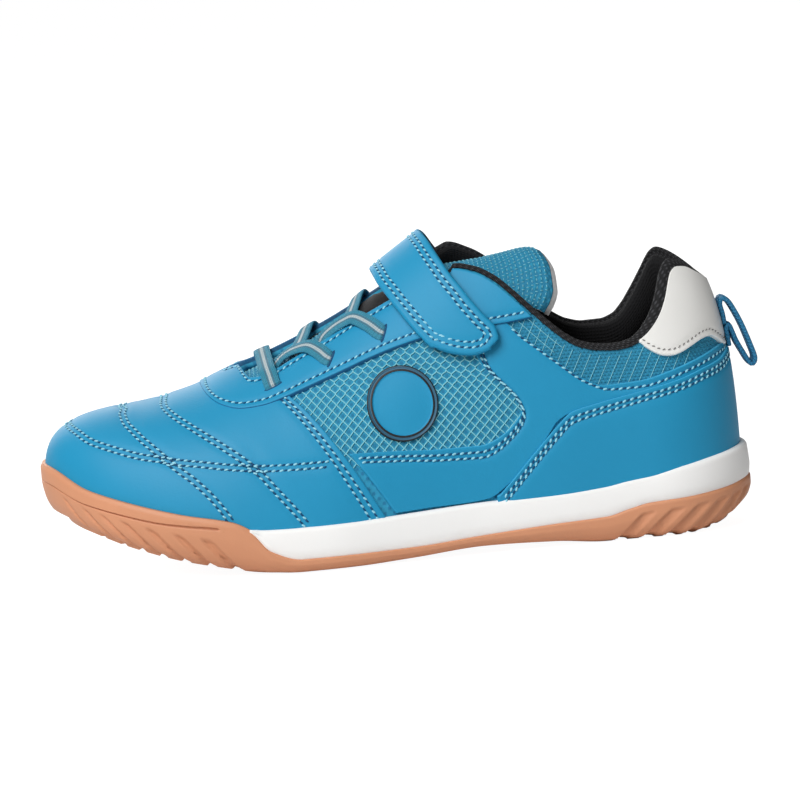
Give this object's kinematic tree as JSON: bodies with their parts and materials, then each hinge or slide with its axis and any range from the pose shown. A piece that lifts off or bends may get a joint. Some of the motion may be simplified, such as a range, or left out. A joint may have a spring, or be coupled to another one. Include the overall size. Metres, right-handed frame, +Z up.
{
  "type": "indoor court shoe",
  "caption": "Low child's indoor court shoe, left foot, with a cupped rubber sole, hollow mesh upper with overlays, hook-and-loop strap, flat elastic laces and heel loop.",
  "frame": {"origin": "middle of the bounding box, on the floor that the sole stands on", "axes": "+X from toe to heel, +Y to the inner side of the foot, +Z up"},
  "size_m": [0.2348, 0.0828, 0.1028],
  "materials": {
    "gum_rubber": "satin",
    "white_midsole": "satin",
    "black_knit": "matte knit",
    "blue_mesh": "open mesh",
    "blue_leather": "satin grain",
    "white_leather": "soft gloss",
    "lace_weave": "flat weave",
    "blue_webbing": "webbing",
    "badge_rubber": "matte"
  },
  "bodies": {
    "root": {"outsole": "gum_rubber", "midsole": "white_midsole", "insole": "black_knit", "upper": "blue_mesh", "tongue": "blue_mesh", "collar": "black_knit", "eyestay": "blue_leather", "vamp": "blue_leather", "side_panel_lateral": "blue_leather", "side_panel_medial": "blue_leather", "heel_counter": "blue_leather", "heel_tab": "white_leather", "strap": "blue_leather", "lace_bar": "lace_weave", "lace_cross_low": "lace_weave", "lace_cross_high": "lace_weave", "pull_loop": "blue_webbing", "badge": "badge_rubber"}
  },
  "joints": []
}
